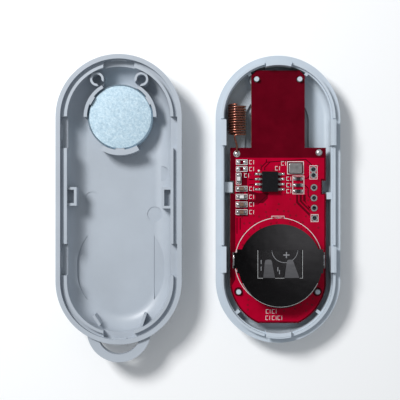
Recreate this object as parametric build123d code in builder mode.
from build123d import *
from math import cos, radians, sin
import os

# Door contact sensor, opened like a book: the base lies at the origin, the cover to its left.
# Millimetres. Z = 0 is the plane that both outer faces lie on, and the open sides look up.
os.makedirs("parts", exist_ok=True)

# ---------------------------------------------------------------- case
case_length, case_width = 71.4, 31.0
end_centre = (case_length - case_width) / 2          # centre of each round end, from the middle
cover_x = -39.4                                       # middle of the cover
round_to = case_width / 2

# Widths from the outer wall inwards
base_wall = 2.3
lip_outer, lip_inner = 1.35, 1.95
rim_wall = 1.1                                        # cover's outer rim
groove_inner = 2.05                                   # groove that takes the base's lip
cover_wall = 2.75
hook_outer, hook_inner, nib_outer = 1.65, 2.6, 1.3
catch_inner = 1.5

# Heights in the base
base_floor = 1.8
ledge_height = 6.0
lip_height = 1.2
hook_height = 2.3
nib_low, nib_high = 1.65, 2.2                         # above the ledge
base_edge_radius, base_floor_radius = 4.0, 1.5

# Heights in the cover
cover_floor = 2.0
rim_height = 9.0
groove_depth, slot_depth, ridge_drop = 1.4, 2.7, 0.3
catch_low, catch_high = 7.5, 8.0
cover_edge_radius, cover_floor_radius = 7.0, 4.25

# Snap hooks and their slots: middle of each along the wall, and lengths
side_hook_ys = (16.5, -14.9)
side_hook_length, end_hook_length = 6.4, 6.2
side_slot_length, end_slot_length = 7.8, 7.6
catch_length = 3.7

# ---------------------------------------------------------------- board and parts on it
board_low, board_thickness = 4.4, 1.6
board_top = board_low + board_thickness
board_half_width, shoulder_y, board_end_y = 11.9, 12.8, -30.8
board_end_radius, board_end_centre = 12.0, -19.9
tongue_half_width, tongue_top, tongue_chamfer = 6.65, 32.0, 1.3
tongue_middle = (shoulder_y + tongue_top) / 2
notch_y, notch_length, notch_depth = 3.0, 3.2, 0.95

pin_radius, pin_hole_radius, pin_top = 0.6, 0.8, 6.9
pin_places = [(-5.35, 29.8), (5.35, 29.8), (-9.8, -23.0), (9.8, -23.0)]
header_places = [(8.8, 7.4), (8.85, 5.95), (8.95, 2.9), (8.95, 0.3), (9.0, -2.2), (9.1, -4.7)]
antenna_hole, spare_hole = (-10.26, 11.3), (10.2, 11.6)
barrel_outer, barrel_inner, ring_radius, ring_thickness = 0.62, 0.52, 0.82, 0.06

coil_x, coil_low_y, coil_high_y, coil_z = -10.15, 16.2, 23.8, 4.9
coil_outer, wire_radius = 2.35, 0.3
lead_x = antenna_hole[0]

chip_x, chip_y = -2.05, 4.35
chip_width, chip_length, chip_height, chip_gap = 4.0, 5.1, 1.45, 0.1
pin_pitch, pin_width, pin_thickness, pin_reach = 1.27, 0.42, 0.2, 3.0

crystal_x, crystal_y, crystal_length, crystal_width = 4.3, 7.67, 3.4, 2.65

# Chip parts of 1.6 x 0.8 mm: place and turn
resistors = [(5.05, 5.1, 0), (5.05, 3.5, 0), (5.05, 2.0, 0)]
capacitors = [(-9.06, 2.6, 0), (-9.06, -1.3, 0), (-9.06, -3.2, 0)]
inductors = [(-9.06, 0.6, 0), (-9.8, 5.1, 90)]
empty_pads = [(-9.86, 9.2), (-8.22, 9.2), (-9.86, 7.5), (-8.22, 7.5)]
chip_part_length, chip_part_width, terminal_length = 1.6, 0.8, 0.3

# ---------------------------------------------------------------- battery
cell_x, cell_y = 0.2, -16.3
cell_radius, cell_thickness = 10.0, 3.2
contact_radius, contact_thickness = 6.0, 0.1
cell_low = board_top + contact_thickness + 0.02        # sits just clear of the contact
cell_top = cell_low + cell_thickness
can_wall, cap_radius, cap_wall, can_low, cap_height = 0.25, 8.9, 0.25, 0.4, 1.6
plate_radius, plate_low, plate_thickness = 10.2, 9.9, 0.3
window_length, window_width = 10.8, 6.8
window_y = cell_y + 0.45
leg_inner, foot_reach = 10.25, 11.3                   # from the cell's middle
leg_y, tab_width, leg_width, foot_width = cell_y + 1.1, 5.9, 5.3, 3.9

# ---------------------------------------------------------------- magnet and clips
magnet_x, magnet_y = 0.2, 20.4                        # from the middle of the cover
magnet_radius, magnet_thickness, magnet_chamfer = 8.1, 4.5, 0.4
clip_inner, clip_outer, clip_top = 8.2, 9.0, 7.3
clip_nib, clip_nib_gap, clip_nib_width = 7.8, 0.15, 2.2    # nib's inner reach, and its gap above the magnet
clip_turn, lower_clip_thicker = 60, 0.5                    # each clip spans 60 degrees
boss_x, boss_y, boss_outer, boss_inner, boss_top = 5.5, 29.7, 1.7, 1.15, 7.6
boss_bore_low, boss_opening, boss_cut = 3.5, 1.5, 1.9

# ---------------------------------------------------------------- reed switch
reed_y, reed_z = tongue_middle, 3.1
glass_radius, glass_wall, glass_length = 1.1, 0.25, 14.0
lead_radius, lead_reach, seal_length = 0.25, 9.0, 1.2


def base_level(z):
    return Plane((0, 0, z))


def cover_level(z):
    return Plane((cover_x, 0, z))


def hook_zones(side_length, end_length, reach):
    """Rectangles across the wall where the six hooks, slots or catches stand."""
    with BuildSketch() as zones:
        for side in (-1, 1):
            with Locations(*[(side * (round_to - reach / 2), y) for y in side_hook_ys]):
                Rectangle(reach, side_length)
            with Locations((0, side * (case_length / 2 - reach / 2))):
                Rectangle(end_length, reach)
    return zones.sketch


def wall_ring(outer, inner):
    """Band that follows the case wall, between two distances from its outside."""
    SlotOverall(case_length - 2 * outer, case_width - 2 * outer, rotation=90)
    SlotOverall(case_length - 2 * inner, case_width - 2 * inner, rotation=90, mode=Mode.SUBTRACT)


zone_reach = 4.5
hooks_at = hook_zones(side_hook_length, end_hook_length, zone_reach)
hook_gap = 0.6                                        # lip is left out this much longer than each hook
gaps_at = hook_zones(side_hook_length + hook_gap, end_hook_length + hook_gap, zone_reach)
slots_at = hook_zones(side_slot_length, end_slot_length, zone_reach)
catches_at = hook_zones(catch_length, catch_length, zone_reach)

# ================================================================ base shell
root = 0.5                                            # posts and ribs start this far inside the floor
upright_outer = round_to - 2.0                        # and run this far out, into the wall
post_inner, post_length, post_top = 11.25, 2.6, 5.2
block_y, block_length, block_inner, block_top = 0.85, 1.7, 12.1, 6.05
# Angle, and inner end from the round end's centre
end_ribs_at = [(-38, 12.15), (-142, 12.15), (57, 12.6), (123, 12.6)]
end_rib_outer, end_rib_thickness, end_rib_top = 13.6, 0.8, 5.9
boss_radius = 1.6
arch_half_width, arch_top, arch_low, arch_depth = 8.1, 27.5, 13.0, 0.8

with BuildPart() as base_shell:
    with BuildSketch(base_level(0)):
        SlotOverall(case_length, case_width, rotation=90)
    extrude(amount=ledge_height)
    fillet(base_shell.faces().sort_by(Axis.Z)[0].edges(), radius=base_edge_radius)
    with BuildSketch(base_level(base_floor)):
        SlotOverall(case_length - 2 * base_wall, case_width - 2 * base_wall, rotation=90)
    extrude(amount=ledge_height, mode=Mode.SUBTRACT)
    floor_face = base_shell.faces().filter_by(Axis.Z).sort_by(Axis.Z)[1]
    fillet(floor_face.edges(), radius=base_floor_radius)
    # Lip that enters the cover's groove, left out where the hooks stand
    with BuildSketch(base_level(ledge_height)):
        wall_ring(lip_outer, lip_inner)
        add(gaps_at, mode=Mode.SUBTRACT)
    extrude(amount=lip_height)
    # Snap hooks: upright tongues that run down the inner wall, each with a nib outwards
    with BuildSketch(base_level(base_floor + base_floor_radius)):
        wall_ring(hook_outer, hook_inner)
        add(hooks_at, mode=Mode.INTERSECT)
    extrude(amount=ledge_height + hook_height - base_floor - base_floor_radius)
    with BuildSketch(base_level(ledge_height + nib_low)):
        wall_ring(nib_outer, hook_outer)
        add(hooks_at, mode=Mode.INTERSECT)
    extrude(amount=nib_high - nib_low)
    # Shallow arch in the floor that gives the reed switch room
    with BuildSketch(base_level(base_floor - arch_depth)):
        with Locations((0, (arch_low + arch_top - arch_half_width) / 2)):
            Rectangle(2 * arch_half_width, arch_top - arch_half_width - arch_low)
        with Locations((0, arch_top - arch_half_width)):
            Circle(arch_half_width)
    extrude(amount=base_floor, mode=Mode.SUBTRACT)
    # Post in the board's left notch, and the block beside the right one
    with BuildSketch(base_level(base_floor - root)):
        with Locations((-(post_inner + upright_outer) / 2, notch_y)):
            Rectangle(upright_outer - post_inner, post_length)
    extrude(amount=post_top - base_floor + root)
    with BuildSketch(base_level(base_floor - root)):
        with Locations(((block_inner + upright_outer) / 2, block_y)):
            Rectangle(upright_outer - block_inner, block_length)
    extrude(amount=block_top - base_floor + root)
    # Bosses that carry the board, and the pins on them
    with BuildSketch(base_level(base_floor - root)):
        with Locations(*pin_places):
            Circle(boss_radius)
    extrude(amount=board_low - base_floor + root)
    with BuildSketch(base_level(board_low)):
        with Locations(*pin_places):
            Circle(pin_radius)
    extrude(amount=pin_top - board_low)
    # Short ribs across both round ends
    with BuildSketch(base_level(base_floor - root)):
        for angle, start in end_ribs_at:
            middle = Location(((start + end_rib_outer) / 2, 0))
            with Locations(Location((0, end_centre if angle > 0 else -end_centre), angle) * middle):
                Rectangle(end_rib_outer - start, end_rib_thickness)
    extrude(amount=end_rib_top - base_floor + root)

base_shell.part.label = "base_shell"
export_step(base_shell.part, "parts/base_shell.step")

# ================================================================ cover shell
cover_root = 0.3                                      # clips start this far inside the floor
pocket_length, pocket_width, pocket_y, pocket_depth = 24.0, 22.0, -17.3, 0.15
pocket_band = 16.8                                    # floor between the two crescents is left as it is
frame_wall, frame_inner, frame_top, frame_floor = 0.65, 10.5, 7.6, 5.6
frame_spans = {-1: (-1.6, 3.0), 1: (-2.3, 3.0)}
ejector_radius = 1.9
ejector_marks = [(-7.2, 0.0, 1.85), (8.6, -3.8, 1.85), (10.4, 6.4, 2.35)]
rib_thickness, boss_rib_low, end_rib_height = 0.7, 3.6, 7.2
boss_rib_middle, boss_rib_length = 2.0, 1.0             # from the boss's middle outwards
end_ribs = [((-6.35, -31.2), (-4.8, -28.8)), ((6.4, -31.2), (5.5, -28.5))]
loop_radius, loop_y, loop_hole_radius, loop_hole_y = 7.9, -32.3, 5.3, -33.0
loop_low, loop_thickness, loop_root = 5.6, 2.6, 1.2      # root: how deep it runs into the rim

with BuildPart() as cover_shell:
    with BuildSketch(cover_level(0)):
        SlotOverall(case_length, case_width, rotation=90)
    extrude(amount=rim_height)
    fillet(cover_shell.faces().sort_by(Axis.Z)[0].edges(), radius=cover_edge_radius)
    with BuildSketch(cover_level(cover_floor)):
        SlotOverall(case_length - 2 * cover_wall, case_width - 2 * cover_wall, rotation=90)
    extrude(amount=rim_height, mode=Mode.SUBTRACT)
    floor_face = cover_shell.faces().filter_by(Axis.Z).sort_by(Axis.Z)[1]
    fillet(floor_face.edges(), radius=cover_floor_radius)
    # Keyring loop, joined to the outside of the rim
    with BuildSketch(cover_level(loop_low)):
        with Locations((0, loop_y)):
            Circle(loop_radius)
        with Locations((0, loop_hole_y)):
            Circle(loop_hole_radius, mode=Mode.SUBTRACT)
        SlotOverall(case_length - 2 * loop_root, case_width - 2 * loop_root, rotation=90, mode=Mode.SUBTRACT)
    extrude(amount=loop_thickness)
    # Groove, lowered ridge and the six slots for the base's hooks
    with BuildSketch(cover_level(rim_height - groove_depth)):
        wall_ring(rim_wall, groove_inner)
    extrude(amount=groove_depth, mode=Mode.SUBTRACT)
    with BuildSketch(cover_level(rim_height - ridge_drop)):
        wall_ring(groove_inner, cover_wall)
    extrude(amount=ridge_drop, mode=Mode.SUBTRACT)
    with BuildSketch(cover_level(rim_height - slot_depth)):
        wall_ring(rim_wall, cover_wall)
        add(slots_at, mode=Mode.INTERSECT)
    extrude(amount=slot_depth, mode=Mode.SUBTRACT)
    with BuildSketch(cover_level(catch_low)):
        wall_ring(rim_wall, catch_inner)
        add(catches_at, mode=Mode.INTERSECT)
    extrude(amount=catch_high - catch_low)
    # Crescents cut from the side walls where the battery's round edge comes close
    with BuildSketch(cover_level(cover_floor - pocket_depth)):
        with Locations((0, pocket_y)):
            SlotOverall(pocket_length, pocket_width, rotation=90)
            Rectangle(pocket_band, pocket_length, mode=Mode.SUBTRACT)
    extrude(amount=rim_height - cover_floor, mode=Mode.SUBTRACT)
    # Ejector-pin marks
    for mark_x, mark_y, mark_z in ejector_marks:
        with BuildSketch(cover_level(mark_z)):
            with Locations((mark_x, mark_y)):
                Circle(ejector_radius)
        extrude(amount=cover_floor, mode=Mode.SUBTRACT)
    # Ring of three clips round the magnet, each with a nib over its edge
    with BuildSketch(cover_level(cover_floor - cover_root)):
        for start, reach in ((0, clip_outer), (120, clip_outer), (240, clip_outer + lower_clip_thicker)):
            with BuildLine():
                CenterArc((magnet_x, magnet_y), reach, start, clip_turn)
                CenterArc((magnet_x, magnet_y), clip_inner, start, clip_turn)
                for angle in (start, start + clip_turn):
                    across, along = cos(radians(angle)), sin(radians(angle))
                    Line((magnet_x + clip_inner * across, magnet_y + clip_inner * along),
                         (magnet_x + reach * across, magnet_y + reach * along))
            make_face()
    extrude(amount=clip_top - cover_floor + cover_root)
    nib_level = cover_floor + magnet_thickness + clip_nib_gap
    for middle in (30, 150, 270):
        turn = Location((magnet_x, magnet_y), middle)
        with BuildSketch(cover_level(nib_level)):
            with Locations(turn * Location(((clip_nib + clip_inner) / 2 + cover_root / 2, 0))):
                Rectangle(clip_inner - clip_nib + cover_root, clip_nib_width)
        extrude(amount=clip_top - nib_level)
    # Hollow box frames against both side walls
    with BuildSketch(cover_level(cover_floor)):
        for side, (low, high) in frame_spans.items():
            with Locations((side * (frame_inner + upright_outer) / 2, (low + high) / 2)):
                Rectangle(upright_outer - frame_inner, high - low)
    extrude(amount=frame_top - cover_floor)
    with BuildSketch(cover_level(frame_floor)):
        for side, (low, high) in frame_spans.items():
            hollow = round_to - cover_wall - frame_inner - frame_wall
            with Locations((side * (frame_inner + frame_wall + hollow / 2), (low + high) / 2)):
                Rectangle(hollow, high - low - 2 * frame_wall)
    extrude(amount=frame_top - frame_floor, mode=Mode.SUBTRACT)
    # C-shaped bosses that press the board onto its pins, each with a rib to the wall
    with BuildSketch(cover_level(cover_floor)):
        for side in (-1, 1):
            with Locations((side * boss_x, boss_y)):
                Circle(boss_outer)
    extrude(amount=boss_top - cover_floor)
    with BuildSketch(cover_level(boss_rib_low)):
        for side in (-1, 1):
            turn = 50 if side > 0 else 130
            with Locations(Location((side * boss_x, boss_y), turn) * Location((boss_rib_middle, 0))):
                Rectangle(boss_rib_length, rib_thickness)
    extrude(amount=boss_top - boss_rib_low)
    with BuildSketch(cover_level(boss_bore_low)):
        for side in (-1, 1):
            turn = 230 if side > 0 else 310
            with Locations((side * boss_x, boss_y)):
                Circle(boss_inner)
            with Locations(Location((side * boss_x, boss_y), turn) * Location((boss_cut / 2, 0))):
                Rectangle(boss_cut, boss_opening)
    extrude(amount=boss_top - cover_floor, mode=Mode.SUBTRACT)
    # Two radial ribs in the lower end
    with BuildSketch(cover_level(cover_floor)):
        for (x0, y0), (x1, y1) in end_ribs:
            run = Vector(x1 - x0, y1 - y0)
            with Locations(Location(((x0 + x1) / 2, (y0 + y1) / 2), Vector(0, 1).get_signed_angle(run))):
                Rectangle(rib_thickness, run.length)
    extrude(amount=end_rib_height - cover_floor)

cover_shell.part.label = "cover_shell"
export_step(cover_shell.part, "parts/cover_shell.step")

# ================================================================ magnet
with BuildPart() as magnet:
    with BuildSketch(cover_level(cover_floor)):
        with Locations((magnet_x, magnet_y)):
            Circle(magnet_radius)
    extrude(amount=magnet_thickness)
    chamfer(magnet.edges().filter_by(GeomType.CIRCLE), length=magnet_chamfer)

magnet.part.label = "magnet"
export_step(magnet.part, "parts/magnet.step")

# ================================================================ circuit board
plated_places = [*header_places, antenna_hole, spare_hole]

with BuildPart() as circuit_board:
    with BuildSketch(base_level(board_low)):
        with Locations((0, (shoulder_y + board_end_centre) / 2)):
            Rectangle(2 * board_half_width, shoulder_y - board_end_centre)
        with Locations((0, board_end_centre)):
            Circle(board_end_radius)
        with Locations((0, (tongue_top + board_end_y) / 2)):
            Rectangle(2 * board_half_width, tongue_top - board_end_y, mode=Mode.INTERSECT)
        with BuildLine():
            Polyline((-tongue_half_width, 0), (tongue_half_width, 0),
                     (tongue_half_width, tongue_top - tongue_chamfer),
                     (tongue_half_width - tongue_chamfer, tongue_top),
                     (tongue_chamfer - tongue_half_width, tongue_top),
                     (-tongue_half_width, tongue_top - tongue_chamfer), close=True)
        make_face()
        with Locations((-board_half_width, notch_y), (board_half_width, notch_y)):
            Rectangle(2 * notch_depth, notch_length, mode=Mode.SUBTRACT)
        with Locations(*pin_places):
            Circle(pin_hole_radius, mode=Mode.SUBTRACT)
        with Locations(*plated_places):
            Circle(barrel_outer, mode=Mode.SUBTRACT)
    extrude(amount=board_thickness)

circuit_board.part.label = "circuit_board"
export_step(circuit_board.part, "parts/circuit_board.step")

# ================================================================ plated holes
with BuildPart() as plated_holes:
    for z in (board_low - ring_thickness, board_top):
        with BuildSketch(base_level(z)):
            with Locations(*plated_places):
                Circle(ring_radius)
        extrude(amount=ring_thickness)
    with BuildSketch(base_level(board_low)):
        with Locations(*plated_places):
            Circle(barrel_outer)
    extrude(amount=board_thickness)
    with BuildSketch(base_level(board_low - ring_thickness)):
        with Locations(*plated_places):
            Circle(barrel_inner)
    extrude(amount=board_thickness + 2 * ring_thickness, mode=Mode.SUBTRACT)

plated_holes.part.label = "plated_holes"
export_step(plated_holes.part, "parts/plated_holes.step")

# ================================================================ antenna
# Close-wound coil along Y, drawn as its winding tube, with the lead that runs to its plated hole.
lead_z = coil_z + coil_outer - 1.3 * wire_radius
lead_bend = 0.4

with BuildPart() as antenna_coil:
    with BuildSketch(Plane((coil_x, coil_high_y, coil_z), x_dir=(1, 0, 0), z_dir=(0, -1, 0))):
        Circle(coil_outer)
        Circle(coil_outer - 2 * wire_radius, mode=Mode.SUBTRACT)
    extrude(amount=coil_high_y - coil_low_y)
    with BuildLine() as lead_path:
        FilletPolyline((lead_x, coil_low_y + 1.2, lead_z),
                       (lead_x, antenna_hole[1], lead_z),
                       (lead_x, antenna_hole[1], board_low - 0.4), radius=lead_bend)
    with BuildSketch(Plane(origin=lead_path.line @ 0, z_dir=lead_path.line % 0)):
        Circle(wire_radius)
    sweep(path=lead_path.line)

antenna_coil.part.label = "antenna_coil"
export_step(antenna_coil.part, "parts/antenna_coil.step")

# ================================================================ controller chip
chip_low = board_top + chip_gap
chip_draft = 6
mark_x, mark_y, mark_radius, mark_depth = -1.15, 1.75, 0.28, 0.06

with BuildPart() as controller_chip:
    middle_z = chip_low + chip_height / 2
    for direction in (1, -1):
        with BuildSketch(base_level(middle_z)):
            with Locations((chip_x, chip_y)):
                Rectangle(chip_width, chip_length)
        extrude(amount=direction * chip_height / 2, taper=chip_draft)
    # Shallow round mark that shows the first pin
    with BuildSketch(base_level(chip_low + chip_height - mark_depth)):
        with Locations((chip_x + mark_x, chip_y + mark_y)):
            Circle(mark_radius)
    extrude(amount=mark_depth, mode=Mode.SUBTRACT)

controller_chip.part.label = "controller_chip"
export_step(controller_chip.part, "parts/controller_chip.step")

with BuildPart() as controller_pins:
    shoulder_z = chip_low + chip_height / 2
    knee = chip_width / 2 + 0.45
    for side in (-1, 1):
        for row in range(4):
            pin_y = chip_y + (row - 1.5) * pin_pitch
            with BuildSketch(Plane((chip_x, pin_y - pin_width / 2, 0), x_dir=(1, 0, 0), z_dir=(0, -1, 0))):
                with BuildLine():
                    Polyline((side * (chip_width / 2), shoulder_z - pin_thickness / 2),
                             (side * (knee - pin_thickness), shoulder_z - pin_thickness / 2),
                             (side * (knee - pin_thickness + 0.1), board_top),
                             (side * pin_reach, board_top),
                             (side * pin_reach, board_top + pin_thickness),
                             (side * (knee + 0.15), board_top + pin_thickness),
                             (side * knee, shoulder_z + pin_thickness / 2),
                             (side * (chip_width / 2), shoulder_z + pin_thickness / 2), close=True)
                make_face()
            extrude(amount=-pin_width)

controller_pins.part.label = "controller_pins"
export_step(controller_pins.part, "parts/controller_pins.step")

# ================================================================ crystal
crystal_split, crystal_top = board_top + 0.35, board_top + 0.8

with BuildPart() as crystal_base:
    with BuildSketch(base_level(board_top)):
        with Locations((crystal_x, crystal_y)):
            RectangleRounded(crystal_length, crystal_width, 0.25)
    extrude(amount=crystal_split - board_top)

crystal_base.part.label = "crystal_base"
export_step(crystal_base.part, "parts/crystal_base.step")

with BuildPart() as crystal_can:
    with BuildSketch(base_level(crystal_split)):
        with Locations((crystal_x, crystal_y)):
            RectangleRounded(crystal_length - 0.2, crystal_width - 0.2, 0.4)
    extrude(amount=crystal_top - crystal_split)
    fillet(crystal_can.faces().sort_by(Axis.Z)[-1].edges(), radius=0.12)

crystal_can.part.label = "crystal_can"
export_step(crystal_can.part, "parts/crystal_can.step")


# ================================================================ chip parts
def chip_bodies(places, height):
    """Middle blocks of a row of chip parts."""
    with BuildPart() as bodies:
        for x, y, turn in places:
            with BuildSketch(base_level(board_top)):
                with Locations(Location((x, y), turn)):
                    Rectangle(chip_part_length - 2 * terminal_length, chip_part_width)
            extrude(amount=height)
    return bodies.part


def chip_terminals(places, height):
    """Tinned end caps of a row of chip parts."""
    with BuildPart() as terminals:
        for x, y, turn in places:
            reach = (chip_part_length - terminal_length) / 2
            with BuildSketch(base_level(board_top)):
                with Locations(Location((x, y), turn)):
                    with Locations((-reach, 0), (reach, 0)):
                        Rectangle(terminal_length, chip_part_width)
            extrude(amount=height)
    return terminals.part


for name, places, height in (("resistor", resistors, 0.45), ("capacitor", capacitors, 0.8),
                             ("inductor", inductors, 0.8)):
    for piece, made in (("bodies", chip_bodies(places, height)), ("terminals", chip_terminals(places, height))):
        made.label = f"{name}_{piece}"
        export_step(made, f"parts/{name}_{piece}.step")

# ================================================================ solder
solder_draft = 25
wedge_length, wedge_height = 0.4, 0.3
blob_length, blob_width, blob_height = 0.9, 1.0, 0.25
toe_size, toe_height = 0.6, 0.15
lead_blob_radius, lead_blob_draft = 0.8, 30
foot_fillet = 0.16

with BuildPart() as solder_joints:
    # Wedges at both ends of every chip part
    for x, y, turn in (*resistors, *capacitors, *inductors):
        for end in (-1, 1):
            reach = end * (chip_part_length + wedge_length) / 2
            with BuildSketch(base_level(board_top)):
                with Locations(Location((x, y), turn) * Location((reach, 0))):
                    Rectangle(wedge_length, chip_part_width)
            extrude(amount=wedge_height, taper=solder_draft)
    # Domes on the pads that carry no part
    for x, y in empty_pads:
        with BuildSketch(base_level(board_top)):
            with Locations((x, y)):
                Rectangle(blob_length, blob_width)
        extrude(amount=blob_height, taper=solder_draft)
    # Toes of the chip's eight pins
    for side in (-1, 1):
        with BuildSketch(base_level(board_top)):
            with Locations(*[(chip_x + side * (pin_reach + toe_size / 2), chip_y + (row - 1.5) * pin_pitch)
                             for row in range(4)]):
                Rectangle(toe_size, toe_size)
        extrude(amount=toe_height, taper=solder_draft)
    # Blob round the antenna lead, and a fillet at each foot of the retainer
    with BuildSketch(base_level(board_top + ring_thickness)):
        with Locations(antenna_hole):
            Circle(lead_blob_radius)
    extrude(amount=wedge_height, taper=lead_blob_draft)
    with BuildSketch(base_level(board_top)):
        with Locations(antenna_hole):
            Circle(wire_radius)
    extrude(amount=1.0, mode=Mode.SUBTRACT)
    for side in (-1, 1):
        with BuildSketch(base_level(board_top)):
            with Locations((cell_x + side * (foot_reach + foot_fillet / 2), leg_y)):
                Rectangle(foot_fillet, foot_width - toe_size)
        extrude(amount=blob_height)

solder_joints.part.label = "solder_joints"
export_step(solder_joints.part, "parts/solder_joints.step")

# ================================================================ battery retainer
finger_roots = [(-4.2, -1.2), (1.0, 4.8)]             # across, from the cell's middle
finger_tips = [(-3.65, -2.1), (1.75, 3.1)]
window_low = window_y - window_width / 2
finger_tip_y = window_y + 1.05
finger_bend_y = window_low + 3.3                      # where a finger presses on the cell
finger_tip_rise, finger_tip_radius, finger_root_width = 0.22, 0.55, 7.0
finger_low = cell_top + 0.06
stop_inner, stop_outer, stop_width, stop_drop = cell_radius + 0.06, plate_radius + 0.2, 7.0, 2.2

with BuildPart() as retainer_fingers:
    for side in (-1, 1):
        with BuildSketch(Plane((cell_x, 0, 0), x_dir=(0, 1, 0), z_dir=(1, 0, 0))):
            with BuildLine():
                Polyline((window_low - plate_thickness, plate_low), (window_low, plate_low),
                         (finger_bend_y, finger_low), (finger_tip_y, finger_low + finger_tip_rise),
                         (finger_tip_y, finger_low + finger_tip_rise + plate_thickness),
                         (finger_bend_y, finger_low + plate_thickness),
                         (window_low, plate_low + plate_thickness),
                         (window_low - plate_thickness, plate_low + plate_thickness), close=True)
            make_face()
        extrude(amount=side * finger_root_width)
    with BuildSketch(base_level(cell_top)):
        for roots, tips in zip(finger_roots, finger_tips):
            with BuildLine():
                Polyline((cell_x + roots[0], window_low - plate_thickness),
                         (cell_x + roots[1], window_low - plate_thickness),
                         (cell_x + tips[1], finger_tip_y), (cell_x + tips[0], finger_tip_y), close=True)
            make_face()
        fillet(vertices().group_by(Axis.Y)[-1], radius=finger_tip_radius)
    extrude(amount=plate_low + 2 * plate_thickness - cell_top, mode=Mode.INTERSECT)

with BuildPart() as battery_retainer:
    leg_outer = leg_inner + plate_thickness
    with BuildSketch(base_level(plate_low)):
        with Locations((cell_x, cell_y)):
            Circle(plate_radius)
        with Locations((cell_x, leg_y)):
            Rectangle(2 * leg_outer, tab_width)
        with Locations((cell_x, window_y)):
            Rectangle(window_length, window_width, mode=Mode.SUBTRACT)
    extrude(amount=plate_thickness)
    add(retainer_fingers.part)
    # Legs down to the board, and their feet
    for side in (-1, 1):
        with BuildSketch(base_level(board_top)):
            with Locations((cell_x + side * (leg_inner + leg_outer) / 2, leg_y)):
                Rectangle(plate_thickness, leg_width)
        extrude(amount=plate_low - board_top)
        with BuildSketch(base_level(board_top)):
            with Locations((cell_x + side * (leg_inner + foot_reach) / 2, leg_y)):
                Rectangle(foot_reach - leg_inner, foot_width)
        extrude(amount=plate_thickness)
    # Stop that keeps the cell from sliding towards the lower end
    with BuildSketch(base_level(plate_low - stop_drop)):
        with Locations((cell_x, cell_y)):
            Circle(stop_outer)
            Circle(stop_inner, mode=Mode.SUBTRACT)
        with Locations((cell_x, cell_y - plate_radius)):
            Rectangle(stop_width, 2.0, mode=Mode.INTERSECT)
    extrude(amount=stop_drop + plate_thickness)

battery_retainer.part.label = "battery_retainer"
export_step(battery_retainer.part, "parts/battery_retainer.step")

# ================================================================ coin cell
def puck(low, high, outer, inner=0.0):
    """Disc or ring on the cell's axis."""
    with BuildPart() as disc:
        with BuildSketch(base_level(low)):
            with Locations((cell_x, cell_y)):
                Circle(outer)
                if inner:
                    Circle(inner, mode=Mode.SUBTRACT)
        extrude(amount=high - low)
    return disc.part


with BuildPart() as cell_can:
    with BuildSketch(base_level(cell_low + can_low)):
        with Locations((cell_x, cell_y)):
            Circle(cell_radius)
    extrude(amount=cell_thickness - can_low)
    fillet(cell_can.faces().sort_by(Axis.Z)[-1].edges(), radius=0.3)
    with BuildSketch(base_level(cell_low + can_low)):
        with Locations((cell_x, cell_y)):
            Circle(cell_radius - can_wall)
    extrude(amount=cell_thickness - can_low - can_wall, mode=Mode.SUBTRACT)

with BuildPart() as cell_cap:
    with BuildSketch(base_level(cell_low)):
        with Locations((cell_x, cell_y)):
            Circle(cap_radius)
    extrude(amount=cap_height)
    fillet(cell_cap.faces().sort_by(Axis.Z)[0].edges(), radius=0.4)
    with BuildSketch(base_level(cell_low + cap_wall)):
        with Locations((cell_x, cell_y)):
            Circle(cap_radius - cap_wall)
    extrude(amount=cap_height, mode=Mode.SUBTRACT)

separator_thickness = 0.15
pellet_low = cell_low + cap_height + separator_thickness
cell_pieces = {
    "cell_can": cell_can.part,
    "cell_cap": cell_cap.part,
    "cell_gasket": puck(cell_low + can_low, cell_low + cap_height, cell_radius - can_wall, cap_radius),
    "lithium_disc": puck(cell_low + cap_wall, cell_low + 1.0, cap_radius - cap_wall - 0.15),
    "separator": puck(cell_low + cap_height, pellet_low, cell_radius - can_wall - 0.1),
    "cathode_pellet": puck(pellet_low, cell_top - can_wall, cell_radius - can_wall - 0.5),
    "cell_contact": puck(board_top, board_top + contact_thickness, contact_radius),
}
for name, made in cell_pieces.items():
    made.label = name
    export_step(made, f"parts/{name}.step")

# ================================================================ reed switch
def reed_plane(y):
    return Plane((0, y, reed_z), x_dir=(1, 0, 0), z_dir=(0, 1, 0))


with BuildPart() as reed_glass:
    with BuildSketch(reed_plane(reed_y - glass_length / 2)):
        Circle(glass_radius)
    extrude(amount=glass_length)
    fillet(reed_glass.edges().filter_by(GeomType.CIRCLE), radius=0.5)
    with BuildSketch(reed_plane(reed_y - glass_length / 2 + seal_length)):
        Circle(glass_radius - glass_wall)
    extrude(amount=glass_length - 2 * seal_length, mode=Mode.SUBTRACT)
    with BuildSketch(reed_plane(reed_y - glass_length / 2)):
        Circle(lead_radius)
    extrude(amount=glass_length, mode=Mode.SUBTRACT)

reed_glass.part.label = "reed_glass"
export_step(reed_glass.part, "parts/reed_glass.step")

blade_width, blade_thickness, blade_gap, blade_overlap = 1.0, 0.18, 0.12, 1.4
with BuildPart() as reed_blades:
    for end in (-1, 1):
        seal = reed_y + end * (glass_length / 2 - seal_length)
        outer = reed_y + end * lead_reach
        level = end * (blade_gap + blade_thickness) / 2
        # Round lead through the seal, then up to the board's underside
        with BuildSketch(reed_plane(seal)):
            Circle(lead_radius)
        extrude(amount=outer - seal + end * lead_radius)
        with BuildSketch(base_level(reed_z - lead_radius)):
            with Locations((0, outer)):
                Rectangle(2 * lead_radius, 2 * lead_radius)
        extrude(amount=board_low - reed_z + lead_radius)
        # Flattened blade inside the glass
        tip = reed_y - end * blade_overlap / 2
        with BuildSketch(base_level(reed_z + level - blade_thickness / 2)):
            with Locations((0, (seal + tip) / 2)):
                Rectangle(blade_width, abs(seal - tip))
        extrude(amount=blade_thickness)

reed_blades.part.label = "reed_blades"
export_step(reed_blades.part, "parts/reed_blades.step")
